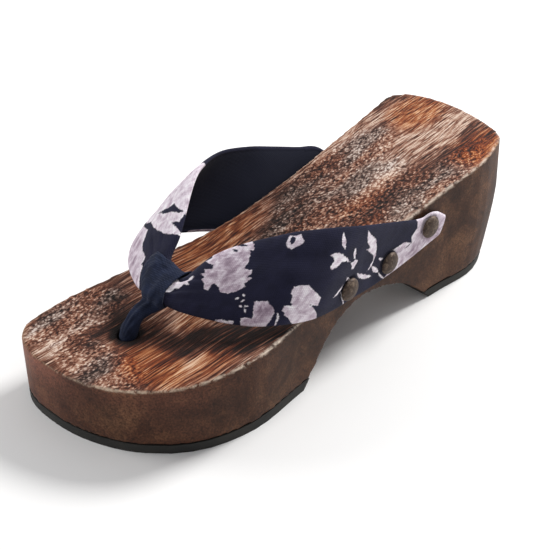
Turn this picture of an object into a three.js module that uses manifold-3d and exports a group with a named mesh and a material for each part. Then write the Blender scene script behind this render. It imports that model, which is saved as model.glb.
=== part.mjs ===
// Geta sandal for the left foot: one block of wood, two rubber outsoles, a padded
// fabric upper of two joined arms tacked to the block's sides, and a toe thong looped
// round the joint.
// Millimetres, +Z up, toe toward -Y, lateral side toward +X, floor at z = 0.
import * as THREE from 'three';
import { mergeVertices } from 'three/addons/utils/BufferGeometryUtils.js';
import Module from 'manifold-3d';

const wasm = await Module();
wasm.setup();

// Driving dimensions
const LENGTH = 240;
const RUBBER = 4;
const GAP = 0.3;
const TALL = 90;
const HALF_SPAN = 80;
const END_CAP = 14.4;
const HEEL_ROUND = 2.1;
const HEEL_BACK = { radius: 84, half: 33.5, corner: 18 };
const TOE_ROUND = 2.5;
const INSET = { toe: 1, heelBack: 10, heelSide: 2 };
const SLANT_TOP = 38;
const SLANT_POWER = 1.3;
const COLUMN_LEVELS = [0, RUBBER, RUBBER + GAP, 9, 15, 22, 30, SLANT_TOP, TALL];
const CAP_STEPS = 9;
const STATION_PITCH = 7;
const DISH = { x: 1, y: -80, z: 33.6, depth: 2.2, across: 84, along: 112, down: 40, tilt: 0.07 };
const HOLE = { x: -3.2, y: -84.8, radius: 4.1, floor: 14 };
const WRAP = { thick: 1.5, clear: 0.6, cut: 0.45, medial: -0.07, bulge: 0.11, lateral: 0.066, flare: 0.025 };
const THONG_FLOOR = 17;
const TACK = { head: 5.2, dome: 2.8, shank: 1, point: 2.5, reach: 12, stand: 0.35, clear: 0.35 };
const TACK_SIDES = 14;
const TACK_ARC_STEPS = 4;

// Outline of the block seen from above: half width and centre line per station.
const OUTLINE = [
  { y: -120, half: 26.0, centre: -13.2 },
  { y: -96, half: 40.6, centre: -0.9 },
  { y: -67.2, half: 44.1, centre: 5.5 },
  { y: -33.6, half: 40.4, centre: 5.2 },
  { y: 0, half: 35.4, centre: 4.6 },
  { y: 33.6, half: 33.5, centre: 2.6 },
  { y: 67.2, half: 34.4, centre: 1.2 },
  { y: 96, half: 35.7, centre: 0.0 },
  { y: 120, half: 33.1, centre: -5.5 },
];

// Height of the footbed along the block.
const FOOTBED = [
  { y: -120, z: 29.1 },
  { y: -72, z: 34.0 },
  { y: -24, z: 36.8 },
  { y: 24, z: 45.3 },
  { y: 72, z: 54.7 },
  { y: 120, z: 63.9 },
];

// Underside between the front block and the heel, from front to back.
const ARCH = [
  { y: -31, z: 0 },
  { y: -27, z: 4 },
  { y: -22.5, z: 8.3 },
  { y: -17.5, z: 13.5 },
  { y: -11, z: 18.6 },
  { y: -3, z: 22.3 },
  { y: 8, z: 24.6 },
  { y: 21, z: 23.2 },
  { y: 33, z: 19.7 },
  { y: 43, z: 15.1 },
  { y: 51, z: 9.2 },
  { y: 57, z: 3.8 },
  { y: 60.5, z: 0 },
];

// Sections of the upper from the medial arm's rear end, round the front joint, to the
// lateral arm's rear end: upper edge (ux, uy, uz), lower edge (wx, wy, wz), padding, arching.
const UPPER = [
  { s: -1, ux: -34.9, uy: 67, uz: 44.5, wx: -34.9, wy: 63, wz: 38, thick: 2.4, arching: 0 },
  { s: -0.99, ux: -35.1, uy: 63.5, uz: 48.2, wx: -34.1, wy: 55.5, wz: 34.6, thick: 2.6, arching: -0.3 },
  { s: -0.96, ux: -36.6, uy: 58.5, uz: 52.4, wx: -33, wy: 41, wz: 31.6, thick: 2.7, arching: -1 },
  { s: -0.9, ux: -38.6, uy: 48.5, uz: 55.2, wx: -32.9, wy: 22, wz: 30.6, thick: 2.9, arching: -1.8 },
  { s: -0.82, ux: -40.6, uy: 34.7, uz: 59.8, wx: -33.6, wy: 2, wz: 32, thick: 3.2, arching: -1.4 },
  { s: -0.72, ux: -41, uy: 19.6, uz: 65.2, wx: -38.4, wy: -17, wz: 36.5, thick: 3.5, arching: 0.4 },
  { s: -0.62, ux: -39.2, uy: 2.5, uz: 70.2, wx: -41.6, wy: -34, wz: 41, thick: 3.6, arching: 1 },
  { s: -0.52, ux: -34.5, uy: -11.5, uz: 71.8, wx: -40.6, wy: -48, wz: 43.6, thick: 3.6, arching: 1 },
  { s: -0.4, ux: -28.2, uy: -23.5, uz: 70.6, wx: -34.6, wy: -57.8, wz: 42, thick: 3.6, arching: 1 },
  { s: -0.18, ux: -12.1, uy: -47.1, uz: 58.6, wx: -16.9, wy: -68.4, wz: 41.8, thick: 3.6, arching: 1.2 },
  { s: -0.09, ux: -8.2, uy: -55.7, uz: 52.6, wx: -9.7, wy: -70.6, wz: 42.6, thick: 4.4, arching: 0.9 },
  { s: 0, ux: -1, uy: -56.8, uz: 47, wx: -2.7, wy: -71.6, wz: 43.4, thick: 5.4, arching: 0.6 },
  { s: 0.09, ux: 3.8, uy: -53.4, uz: 49.3, wx: 4.8, wy: -70.4, wz: 42.5, thick: 4.4, arching: 0.9 },
  { s: 0.18, ux: 9.7, uy: -47.1, uz: 58.6, wx: 12.2, wy: -67.9, wz: 41.3, thick: 3.6, arching: 1.4 },
  { s: 0.4, ux: 30, uy: -25.3, uz: 68.4, wx: 34.2, wy: -55.6, wz: 39.8, thick: 3.6, arching: 1.6 },
  { s: 0.52, ux: 38, uy: -17, uz: 70.2, wx: 43.6, wy: -46.4, wz: 39.8, thick: 3.6, arching: 1.6 },
  { s: 0.62, ux: 43, uy: -6.8, uz: 69.2, wx: 46.7, wy: -31.2, wz: 36.3, thick: 3.6, arching: 1.5 },
  { s: 0.72, ux: 43.8, uy: 5.6, uz: 65, wx: 43.8, wy: -13.9, wz: 31.6, thick: 3.5, arching: 0.4 },
  { s: 0.82, ux: 42.2, uy: 19, uz: 59.8, wx: 41.6, wy: 1, wz: 30, thick: 3.2, arching: -0.8 },
  { s: 0.9, ux: 40, uy: 34.6, uz: 53.6, wx: 39.3, wy: 20.6, wz: 28.6, thick: 2.9, arching: -1 },
  { s: 0.96, ux: 38.2, uy: 49.4, uz: 48.2, wx: 37.9, wy: 38, wz: 29.7, thick: 2.7, arching: -0.5 },
  { s: 0.99, ux: 37.5, uy: 60.2, uz: 46.8, wx: 37.4, wy: 54, wz: 32.4, thick: 2.6, arching: 0 },
  { s: 1, ux: 37.4, uy: 66, uz: 42.6, wx: 37.4, wy: 62, wz: 34.2, thick: 2.4, arching: 0 },
];

// Tacks along each arm's fixed end: place along the upper, and across it from edge to edge.
const TACK_PLACES = [
  { name: 'lateral_rear_tack', s: 0.98, q: -0.35 },
  { name: 'lateral_middle_tack', s: 0.902, q: 0.36 },
  { name: 'lateral_front_tack', s: 0.751, q: 0.5 },
  { name: 'medial_rear_tack', s: -0.98, q: -0.35 },
  { name: 'medial_middle_tack', s: -0.9, q: 0.36 },
  { name: 'medial_front_tack', s: -0.82, q: 0.76 },
];

// Positions across a band at which its section is drawn, edge to edge.
const ACROSS = [-1, -0.985, -0.93, -0.8, -0.55, -0.28, 0, 0.28, 0.55, 0.8, 0.93, 0.985, 1];

// Centre line of the thong's cord below the joint, with its half width and half depth.
const CORD = [
  { x: -3.0, y: -68.6, z: 39.6, wide: 5.6, deep: 1.4 },
  { x: -3.0, y: -72.0, z: 39.9, wide: 5.4, deep: 2.2 },
  { x: -3.0, y: -76.1, z: 39.4, wide: 4.5, deep: 2.8 },
  { x: -3.0, y: -80.2, z: 37.9, wide: 3.8, deep: 2.8 },
  { x: -3.1, y: -83.2, z: 34.0, wide: 3.2, deep: 2.8 },
  { x: -3.2, y: -84.6, z: 28.6, wide: 3.0, deep: 2.8 },
  { x: -3.2, y: -84.8, z: 22.0, wide: 3.0, deep: 2.8 },
  { x: -3.2, y: -84.8, z: THONG_FLOOR, wide: 3.0, deep: 2.8 },
];
const CORD_SIDES = 20;
const CORD_STEPS = 26;

// Smooth lookup of a table's other columns at any value of its key column.
function lookup(rows, key) {
  const columns = Object.keys(rows[0]).filter((name) => name !== key);
  const keys = rows.map((row) => row[key]);
  const values = rows.flatMap((row) => columns.map((name) => row[name]));
  const cubic = new THREE.CubicInterpolant(keys, values, columns.length);
  return (at) => {
    const found = cubic.evaluate(at);
    return Object.fromEntries(columns.map((name, i) => [name, found[i]]));
  };
}

const outlineAt = lookup(OUTLINE, 'y');
const footbedAt = lookup(FOOTBED, 'y');
const upperAt = lookup(UPPER, 's');

// A closed body from a three.js geometry.
function body(geometry) {
  geometry.deleteAttribute('normal');
  geometry.deleteAttribute('uv');
  const merged = mergeVertices(geometry, 1e-4);
  return new wasm.Manifold(new wasm.Mesh({
    numProp: 3,
    vertProperties: new Float32Array(merged.attributes.position.array),
    triVerts: new Uint32Array(merged.index.array),
  }));
}

// Geometry from points and triangles.
function surface(points, triangles) {
  const geometry = new THREE.BufferGeometry().setFromPoints(points);
  geometry.setIndex(triangles);
  return geometry;
}

// Quads between neighbouring rings of equal count.
function skin(rings, wrapAround) {
  const count = rings[0].length;
  const last = wrapAround ? rings.length : rings.length - 1;
  const triangles = [];
  for (let i = 0; i < last; i += 1) {
    for (let j = 0; j < count; j += 1) {
      const a = i * count + j;
      const b = i * count + ((j + 1) % count);
      const c = ((i + 1) % rings.length) * count + j;
      const d = ((i + 1) % rings.length) * count + ((j + 1) % count);
      triangles.push(a, b, d, a, d, c);
    }
  }
  return triangles;
}

// Body through a row of rings, closed with a fan at each end.
function loft(rings) {
  const count = rings[0].length;
  const points = rings.flat();
  const triangles = skin(rings, false);
  const ends = [rings[0], rings[rings.length - 1]];
  ends.forEach((ring, end) => {
    const middle = ring.reduce((sum, p) => sum.add(p), new THREE.Vector3()).divideScalar(count);
    const hub = points.push(middle) - 1;
    const first = end === 0 ? 0 : (rings.length - 1) * count;
    for (let j = 0; j < count; j += 1) {
      const k = (j + 1) % count;
      triangles.push(hub, first + (end === 0 ? k : j), first + (end === 0 ? j : k));
    }
  });
  return body(surface(points, triangles));
}

// Stations along the outline, gathered close together round both ends.
function outlineStations() {
  const end = LENGTH / 2;
  const toe = [];
  for (let i = 0; i <= CAP_STEPS; i += 1) {
    toe.push(-end + END_CAP * (1 - Math.cos((i / CAP_STEPS) * Math.PI / 2)));
  }
  const run = LENGTH - 2 * END_CAP;
  const steps = Math.round(run / STATION_PITCH);
  const middle = [];
  for (let i = 1; i < steps; i += 1) {
    middle.push(-end + END_CAP + (run * i) / steps);
  }
  return [...toe, ...middle, ...toe.map((y) => -y).reverse()];
}

// Narrowing of the outline toward its rounded ends; the heel's lateral corner is the sharpest.
function endRounding(y, side) {
  const fromEnd = LENGTH / 2 - Math.abs(y);
  if (fromEnd >= END_CAP) {
    return 1;
  }
  if (y > 0 && side > 0) {
    const reach = Math.sqrt(fromEnd * (2 * HEEL_BACK.radius - fromEnd)) / HEEL_BACK.half;
    return (reach ** -HEEL_BACK.corner + 1) ** (-1 / HEEL_BACK.corner);
  }
  const power = y > 0 ? HEEL_ROUND : TOE_ROUND;
  return (1 - (1 - fromEnd / END_CAP) ** power) ** (1 / power);
}

// Outline of the block as a ring of points, up the lateral side and back down.
function outlineRing() {
  const stations = outlineStations();
  const at = (y, side) => {
    const { half, centre } = outlineAt(y);
    return new THREE.Vector2(centre + side * half * endRounding(y, side), y);
  };
  const lateral = stations.map((y) => at(y, 1));
  const medial = stations.slice(1, -1).reverse().map((y) => at(y, -1));
  return [...lateral, ...medial];
}

// How far a point of the outline has moved in at the floor, at full slant.
function wallInset(point) {
  const toward = (from) => THREE.MathUtils.clamp((Math.abs(point.y) - from) / (LENGTH / 2 - from), 0, 1);
  if (point.y < 0) {
    return new THREE.Vector2(0, INSET.toe * toward(60));
  }
  const side = INSET.heelSide * toward(30) * (point.x / 35);
  return new THREE.Vector2(-side, -INSET.heelBack * toward(62) ** 1.5);
}

// The block's walls as one column from the floor to above the footbed.
function column() {
  const outline = outlineRing();
  const rings = COLUMN_LEVELS.map((z) => {
    const slant = Math.max(0, 1 - z / SLANT_TOP) ** SLANT_POWER;
    return outline.map((p) => {
      const moved = wallInset(p).multiplyScalar(slant).add(p);
      return new THREE.Vector3(moved.x, moved.y, z);
    });
  });
  return loft(rings);
}

// Side profile from the floor up to the footbed, with the arch cut under the waist.
function sideProfile() {
  const over = LENGTH / 2 + 5;
  const arch = new THREE.SplineCurve(ARCH.map((row) => new THREE.Vector2(row.y, row.z)));
  const shape = new THREE.Shape();
  shape.moveTo(-over, 0);
  arch.getPoints(44).forEach((p) => shape.lineTo(p.x, p.y));
  shape.lineTo(over, 0);
  for (let i = 0; i <= 36; i += 1) {
    const y = over - (2 * over * i) / 36;
    shape.lineTo(y, footbedAt(THREE.MathUtils.clamp(y, -LENGTH / 2, LENGTH / 2)).z);
  }
  const slab = new THREE.ExtrudeGeometry(shape, { depth: 2 * HALF_SPAN, bevelEnabled: false });
  slab.translate(0, 0, -HALF_SPAN);
  slab.applyMatrix4(new THREE.Matrix4().makeBasis(
    new THREE.Vector3(0, 1, 0),
    new THREE.Vector3(0, 0, 1),
    new THREE.Vector3(1, 0, 0),
  ));
  return body(slab);
}

// A plain box between two corners.
function boxBetween(low, high) {
  const size = high.clone().sub(low);
  const box = new THREE.BoxGeometry(size.x, size.y, size.z);
  const centre = low.clone().add(high).multiplyScalar(0.5);
  return body(box.translate(centre.x, centre.y, centre.z));
}

// Everything between two heights, over one stretch of the length.
function layer(zLow, zHigh, yLow, yHigh) {
  return boxBetween(
    new THREE.Vector3(-HALF_SPAN, yLow, zLow),
    new THREE.Vector3(HALF_SPAN, yHigh, zHigh),
  );
}

// Shallow hollow worn and carved into the front of the footbed.
function dish() {
  const hollow = new THREE.SphereGeometry(1, 56, 40);
  hollow.scale(DISH.across, DISH.along, DISH.down);
  hollow.rotateX(DISH.tilt);
  hollow.translate(DISH.x, DISH.y, DISH.z + DISH.down - DISH.depth);
  return body(hollow);
}

// Blind hole that takes the thong's cord.
function thongHole() {
  const bore = new THREE.CylinderGeometry(HOLE.radius, HOLE.radius, TALL, 40);
  bore.rotateX(Math.PI / 2);
  bore.translate(HOLE.x, HOLE.y, HOLE.floor + TALL / 2);
  return body(bore);
}

function middleOf(s) {
  const row = upperAt(s);
  return new THREE.Vector3(row.ux + row.wx, row.uy + row.wy, row.uz + row.wz).multiplyScalar(0.5);
}

// Directions of the upper's section at one place along it.
function bandFrame(s) {
  const row = upperAt(s);
  const across = new THREE.Vector3(row.wx - row.ux, row.wy - row.uy, row.wz - row.uz);
  const half = across.length() / 2;
  across.normalize();
  const along = middleOf(s + 0.002).sub(middleOf(s - 0.002)).normalize();
  const outward = across.clone().cross(along).normalize();
  return { row, middle: middleOf(s), across, outward, half };
}

// A point on the outer (1) or inner (-1) face, q running from upper edge to lower edge.
function bandPoint(frame, q, face, grow) {
  const { row, middle, across, outward, half } = frame;
  const padding = (row.thick / 2 + grow) * Math.sqrt(1 - q ** 8) * (0.8 + 0.2 * (1 - q * q));
  const lift = row.arching * (1 - q * q) + face * padding;
  return middle.clone().addScaledVector(across, q * (half + grow)).addScaledVector(outward, lift);
}

// One section of the upper: a padded band, rounded at its edges and arched outward.
function bandSection(s, grow) {
  const frame = bandFrame(s);
  const outer = ACROSS.map((q) => bandPoint(frame, q, 1, grow));
  const inner = ACROSS.slice(1, -1).reverse().map((q) => bandPoint(frame, q, -1, grow));
  return [...outer, ...inner];
}

// Sections along the upper, closer together round the front joint and at the rear ends.
function bandStations(from, to) {
  const stations = [from];
  while (stations[stations.length - 1] < to) {
    const s = stations[stations.length - 1];
    const step = Math.abs(s + 0.005) < 0.22 || Math.abs(s) > 0.95 ? 0.0125 : 0.0275;
    stations.push(s + step > to - step / 2 ? to : s + step);
  }
  return stations;
}

function band(from, to, grow) {
  return loft(bandStations(from, to).map((s) => bandSection(s, grow)));
}

// Where a tack stands on an arm's outer face, and which way its head looks.
function tackSeat({ name, s, q }) {
  const frame = bandFrame(s);
  return { name, point: bandPoint(frame, q, 1, 0), outward: frame.outward };
}

// Turns a body of revolution about Y so that it stands on a seat.
function standOn(geometry, seat) {
  const turn = new THREE.Quaternion().setFromUnitVectors(new THREE.Vector3(0, 1, 0), seat.outward);
  return geometry.applyQuaternion(turn).translate(seat.point.x, seat.point.y, seat.point.z);
}

// A round-headed tack: domed head outside the fabric, pointed shank through it into the wood.
function tack(seat) {
  const profile = [
    new THREE.Vector2(0, -TACK.reach),
    new THREE.Vector2(TACK.shank, -TACK.reach + TACK.point),
    new THREE.Vector2(TACK.shank, TACK.stand),
    new THREE.Vector2(TACK.head, TACK.stand),
  ];
  for (let i = 0; i <= TACK_ARC_STEPS; i += 1) {
    const turn = (i / TACK_ARC_STEPS) * (Math.PI / 2);
    const rise = TACK.stand + 0.5 + (TACK.dome - 0.5) * Math.sin(turn);
    profile.push(new THREE.Vector2(i === TACK_ARC_STEPS ? 0 : TACK.head * Math.cos(turn), rise));
  }
  return body(standOn(new THREE.LatheGeometry(profile, TACK_SIDES), seat));
}

// A round bore along a tack's line, between two distances from the seat.
function bore(radius, from, to, seat) {
  const geometry = new THREE.CylinderGeometry(radius, radius, to - from, TACK_SIDES);
  return body(standOn(geometry.translate(0, (from + to) / 2, 0), seat));
}

// Room for a tack: a hole for the shank into the wood, and a dent in the padding for the head.
function tackRoom(seat) {
  const hole = bore(TACK.shank + TACK.clear, -TACK.reach - TACK.clear, TACK.dome, seat);
  return hole.add(bore(TACK.head + TACK.clear, 0, 2 * TACK.dome, seat));
}

// The thong's loop round the joined arms: a ring of cloth that follows their section, its
// medial border bulging along the middle of the arm and its lateral border almost straight.
function loop() {
  const places = [...ACROSS, ...ACROSS.slice(1, -1).reverse()];
  const stops = [0, 0.1, 0.3, 0.5, 0.7, 0.9, 1];
  const rings = places.map((q, j) => {
    const from = WRAP.medial - WRAP.bulge * (1 - q * q) ** 2;
    const to = WRAP.lateral + WRAP.flare * q * q;
    const inner = stops.map((t) => bandSection(THREE.MathUtils.lerp(from, to, t), WRAP.clear)[j]);
    const outer = stops.map((t) => {
      const grow = WRAP.clear + WRAP.thick * Math.sqrt(1 - 0.75 * (2 * t - 1) ** 4);
      return bandSection(THREE.MathUtils.lerp(to, from, t), grow)[j];
    });
    return [...inner, ...outer];
  });
  return body(surface(rings.flat(), skin(rings, true)));
}

// The thong's cord from the loop down into the hole.
function cord() {
  const path = new THREE.CatmullRomCurve3(CORD.map((row) => new THREE.Vector3(row.x, row.y, row.z)));
  const spread = lookup(CORD.map(({ wide, deep }, i) => ({ at: i / (CORD.length - 1), wide, deep })), 'at');
  const side = new THREE.Vector3(1, 0, 0);
  const rings = [];
  for (let i = 0; i <= CORD_STEPS; i += 1) {
    const at = i / CORD_STEPS;
    const { wide, deep } = spread(at);
    const along = path.getTangent(at);
    const front = along.clone().cross(side).normalize();
    const ring = [];
    for (let j = 0; j < CORD_SIDES; j += 1) {
      const turn = (2 * Math.PI * j) / CORD_SIDES;
      ring.push(path.getPoint(at)
        .addScaledVector(side, wide * Math.cos(turn))
        .addScaledVector(front, deep * Math.sin(turn)));
    }
    rings.push(ring);
  }
  return loft(rings);
}

// A named part with its own material, from a closed body.
function part(name, solid, look) {
  const mesh = solid.getMesh();
  const geometry = new THREE.BufferGeometry();
  geometry.setAttribute('position', new THREE.BufferAttribute(new Float32Array(mesh.vertProperties), 3));
  geometry.setIndex(new THREE.BufferAttribute(new Uint32Array(mesh.triVerts), 1));
  geometry.computeVertexNormals();
  const node = new THREE.Mesh(geometry, new THREE.MeshStandardMaterial(look));
  node.name = name;
  return node;
}

function buildSandal() {
  const blank = column().intersect(sideProfile());
  const seats = TACK_PLACES.map(tackSeat);
  const rooms = seats.map(tackRoom).reduce((all, room) => all.add(room));
  const base = blank
    .intersect(layer(RUBBER + GAP, TALL, -LENGTH, LENGTH))
    .subtract(dish())
    .subtract(thongHole())
    .subtract(rooms);
  const arms = band(-1, 1, 0).subtract(rooms);
  const thong = loop().add(cord()).subtract(band(-0.4, 0.4, WRAP.cut));
  const rubber = { color: 0x1f1f1d, roughness: 0.85, metalness: 0 };
  const metal = { color: 0x5d4c3d, roughness: 0.5, metalness: 0.7 };
  const sandal = new THREE.Group();
  sandal.name = 'geta_sandal';
  sandal.add(
    part('wooden_base', base, { color: 0x6b4a35, roughness: 0.6, metalness: 0 }),
    part('front_outsole', blank.intersect(layer(-1, RUBBER, -LENGTH, 0)), rubber),
    part('heel_outsole', blank.intersect(layer(-1, RUBBER, 0, LENGTH)), rubber),
    part('strap_arms', arms, { color: 0x262a40, roughness: 0.9, metalness: 0 }),
    part('toe_thong', thong, { color: 0x22304a, roughness: 0.9, metalness: 0 }),
    ...seats.map((seat) => part(seat.name, tack(seat), metal)),
  );
  return sandal;
}

// The origin: on the floor, under the middle of the whole sandal's box.
function centreOnFloor(sandal) {
  const middle = new THREE.Box3().setFromObject(sandal).getCenter(new THREE.Vector3());
  sandal.position.set(-middle.x, -middle.y, 0);
  return sandal;
}

export default centreOnFloor(buildSandal());
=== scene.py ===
# Geta sandal for the left foot: burnt wooden block, black rubber outsoles, padded navy
# cotton arms printed with pale flowers, a cotton toe thong and six antiqued tacks.
# The drawing's sizes are in millimetres, toe toward -Y, lateral side toward +X.
import math

import bpy
import numpy as np
from mathutils import Matrix, Vector, noise


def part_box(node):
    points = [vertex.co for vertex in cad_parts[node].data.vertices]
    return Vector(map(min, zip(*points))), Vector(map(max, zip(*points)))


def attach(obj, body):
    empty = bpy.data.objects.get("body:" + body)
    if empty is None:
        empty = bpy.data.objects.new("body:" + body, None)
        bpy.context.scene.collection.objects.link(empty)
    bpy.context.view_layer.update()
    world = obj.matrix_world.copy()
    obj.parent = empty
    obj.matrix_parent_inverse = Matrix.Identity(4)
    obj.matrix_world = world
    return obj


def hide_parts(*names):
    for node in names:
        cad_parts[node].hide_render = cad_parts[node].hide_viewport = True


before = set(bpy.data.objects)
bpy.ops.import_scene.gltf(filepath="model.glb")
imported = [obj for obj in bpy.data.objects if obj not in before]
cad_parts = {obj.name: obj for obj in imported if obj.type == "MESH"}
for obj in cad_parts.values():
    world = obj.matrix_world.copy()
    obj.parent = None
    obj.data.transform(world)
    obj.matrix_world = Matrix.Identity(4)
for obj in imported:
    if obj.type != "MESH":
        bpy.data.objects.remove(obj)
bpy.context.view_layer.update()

MM = 0.001
WALL_BULGE_X = 49.79  # lateral-most point of the front outsole in the drawing
HOLE_X, HOLE_Y = -3.2, -84.8  # middle of the thong's hole
BLOCK_VOXEL = 0.86  # fineness of the block's surface
THONG_VOXEL = 0.42  # fineness of the thong's surface

# Both cloths' threads are drawn 0.8 mm apart, coarser than the real 0.4 mm, so that they show.
THREAD_SCALE = 0.314 / 0.8

# The drawing's origin, moved to the middle of the sandal's box.
DRAWING = np.array([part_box("front_outsole")[1].x / MM - WALL_BULGE_X, -0.075, 0.0])


# ---------------------------------------------------------------- small helpers


def only(piece):
    """Selects one piece and nothing else, and makes it active."""
    bpy.ops.object.select_all(action="DESELECT")
    piece.select_set(True)
    bpy.context.view_layer.objects.active = piece


def copy_of(node_name, name):
    """A merged copy of a CAD node, to be shaped into a finished piece."""
    piece = bpy.data.objects.new(name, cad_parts[node_name].data.copy())
    bpy.context.scene.collection.objects.link(piece)
    piece.data.materials.clear()
    only(piece)
    bpy.ops.object.mode_set(mode="EDIT")
    bpy.ops.mesh.select_all(action="SELECT")
    bpy.ops.mesh.remove_doubles(threshold=0.00001)
    bpy.ops.object.mode_set(mode="OBJECT")
    return piece


def apply(piece, kind, **settings):
    """Adds a modifier with its settings and applies it."""
    only(piece)
    modifier = piece.modifiers.new(kind.lower(), kind)
    for key, value in settings.items():
        setattr(modifier, key, value)
    bpy.ops.object.modifier_apply(modifier=modifier.name)


def points_of(piece):
    """The piece's vertices as rows of the drawing's millimetres."""
    flat = np.empty(len(piece.data.vertices) * 3, np.float32)
    piece.data.vertices.foreach_get("co", flat)
    return flat.reshape(-1, 3).astype(float) / MM - DRAWING


def place(piece, points):
    """Moves the piece's vertices to rows of the drawing's millimetres."""
    flat = ((points + DRAWING) * MM).astype(np.float32).ravel()
    piece.data.vertices.foreach_set("co", flat)
    piece.data.update()


def normals_of(piece):
    flat = np.empty(len(piece.data.vertices) * 3, np.float32)
    piece.data.vertices.foreach_get("normal", flat)
    return flat.reshape(-1, 3).astype(float)


def keep(piece, name, values):
    """Stores one number per vertex for a material to read."""
    attribute = piece.data.attributes.new(name, "FLOAT", "POINT")
    attribute.data.foreach_set("value", np.asarray(values, np.float32))


def ease(low, high, value):
    """0 below low, 1 above high, smooth between."""
    t = np.clip((value - low) / (high - low), 0, 1)
    return t * t * (3 - 2 * t)


def ripple(points, size, seed):
    """Smooth noise from -1 to 1 over points, with features of about one size."""
    return np.array([noise.noise(Vector(p / size) + Vector((seed, 0, 0))) for p in points])


def finish(piece, material, node_name):
    """Shading, material and the frame's facts for a finished piece."""
    piece.data.materials.append(material)
    only(piece)
    bpy.ops.object.shade_smooth()
    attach(piece, "root")
    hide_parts(node_name)


def linear(hex_colour):
    """An sRGB hex colour as linear red, green, blue and 1."""
    parts = [int(hex_colour[i : i + 2], 16) / 255 for i in (1, 3, 5)]
    return [c / 12.92 if c <= 0.04045 else ((c + 0.055) / 1.055) ** 2.4 for c in parts] + [1.0]


def add(tree, kind, inputs=None, out=0, stops=None, **settings):
    """Adds a node with its settings, links or sets its inputs, and gives one output."""
    made = tree.nodes.new(kind)
    for key, value in settings.items():
        setattr(made, key, value)
    for socket, value in (inputs or {}).items():
        if isinstance(value, bpy.types.NodeSocket):
            tree.links.new(value, made.inputs[socket])
        else:
            made.inputs[socket].default_value = linear(value) if isinstance(value, str) else value
    if stops:
        elements = made.color_ramp.elements
        while len(elements) < len(stops):
            elements.new(0.5)
        for element, (position, colour) in zip(elements, stops):
            element.position = position
            element.color = linear(colour)
    return made.outputs[out] if len(made.outputs) else made


def new_material(name):
    """An empty material: its tree, its shader and object coordinates in millimetres."""
    material = bpy.data.materials.new(name)
    material.use_nodes = True
    tree = material.node_tree
    shader = tree.nodes["Principled BSDF"]
    where = add(tree, "ShaderNodeTexCoord", out="Object")
    mm = add(tree, "ShaderNodeVectorMath", {0: where, 1: (1000, 1000, 1000)}, operation="MULTIPLY")
    return material, tree, shader, mm


# ---------------------------------------------------------------- the wooden block


# Finishes of the burnt and wire-brushed footbed: middle (x, y), reach (rx, ry), amount.
FOOTBED_ZONES = [
    {"finish": "pale", "x": 5, "y": 88, "rx": 9, "ry": 42, "amount": 1.0},
    {"finish": "pale", "x": -10, "y": 100, "rx": 9, "ry": 26, "amount": 0.7},
    {"finish": "pale", "x": -29, "y": 72, "rx": 4, "ry": 44, "amount": 0.9},
    {"finish": "pale", "x": 6, "y": -62, "rx": 13, "ry": 11, "amount": 0.8},
    {"finish": "pale", "x": 36, "y": -84, "rx": 5, "ry": 20, "amount": 0.6},
    {"finish": "pale", "x": -20, "y": -111, "rx": 22, "ry": 7, "amount": 1.2},
    {"finish": "pale", "x": -24, "y": -92, "rx": 14, "ry": 12, "amount": 0.5},
    {"finish": "rust", "x": 28, "y": 102, "rx": 12, "ry": 18, "amount": 1.0},
    {"finish": "rust", "x": -16, "y": 106, "rx": 13, "ry": 16, "amount": 0.9},
    {"finish": "rust", "x": -24, "y": -22, "rx": 10, "ry": 32, "amount": 0.8},
    {"finish": "rust", "x": 16, "y": 34, "rx": 9, "ry": 22, "amount": 0.4},
    {"finish": "rust", "x": 22, "y": -92, "rx": 20, "ry": 12, "amount": 0.9},
    {"finish": "rust", "x": 38, "y": -76, "rx": 8, "ry": 14, "amount": 0.7},
    {"finish": "rust", "x": 10, "y": -60, "rx": 7, "ry": 9, "amount": 0.6},
    {"finish": "curl", "x": 8, "y": 30, "rx": 26, "ry": 44, "amount": 1.0},
    {"finish": "curl", "x": -16, "y": 52, "rx": 13, "ry": 40, "amount": 0.9},
    {"finish": "curl", "x": 27, "y": 72, "rx": 9, "ry": 34, "amount": 0.9},
    {"finish": "curl", "x": -28, "y": -92, "rx": 13, "ry": 24, "amount": 1.0},
    {"finish": "curl", "x": 4, "y": -106, "rx": 26, "ry": 12, "amount": 0.9},
    # Painted shadow laid over the burn: darker round the thong, where its wrap shades the footbed.
    {"finish": "char_and_shade", "x": -6, "y": -76, "rx": 16, "ry": 14, "amount": 0.9},
    {"finish": "char_and_shade", "x": -13, "y": -98, "rx": 5, "ry": 18, "amount": 0.7},
    # Painted shadow laid over the burn: these four run along the lateral arm's lower edge, where the arm's
    # shade falls on the footbed.
    {"finish": "char_and_shade", "x": 12, "y": -77, "rx": 20, "ry": 6, "amount": 0.9},
    {"finish": "char_and_shade", "x": 26, "y": -66, "rx": 14, "ry": 8, "amount": 1.2},
    {"finish": "char_and_shade", "x": 36, "y": -57, "rx": 11, "ry": 9, "amount": 1.3},
    {"finish": "char_and_shade", "x": 43, "y": -46, "rx": 8, "ry": 12, "amount": 1.3},
    {"finish": "char_and_shade", "x": 20, "y": 60, "rx": 6, "ry": 50, "amount": 0.4},
]


def neighbours_of(piece):
    """Both ends of every edge, and how many edges meet at each vertex."""
    ends = np.empty(len(piece.data.edges) * 2, np.int32)
    piece.data.edges.foreach_get("vertices", ends)
    a, b = ends.reshape(-1, 2).T
    return a, b, np.bincount(ends, minlength=len(piece.data.vertices)).astype(float)


def sum_around(a, b, values):
    """The sum of a number over each vertex's neighbours."""
    return np.bincount(a, values[b], len(values)) + np.bincount(b, values[a], len(values))


def spread_over(piece, values, rounds):
    """Averages a number per vertex with its neighbours, a few times."""
    a, b, count = neighbours_of(piece)
    for _ in range(rounds):
        values = 0.5 * values + 0.5 * sum_around(a, b, values) / np.maximum(count, 1)
    return values


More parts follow.
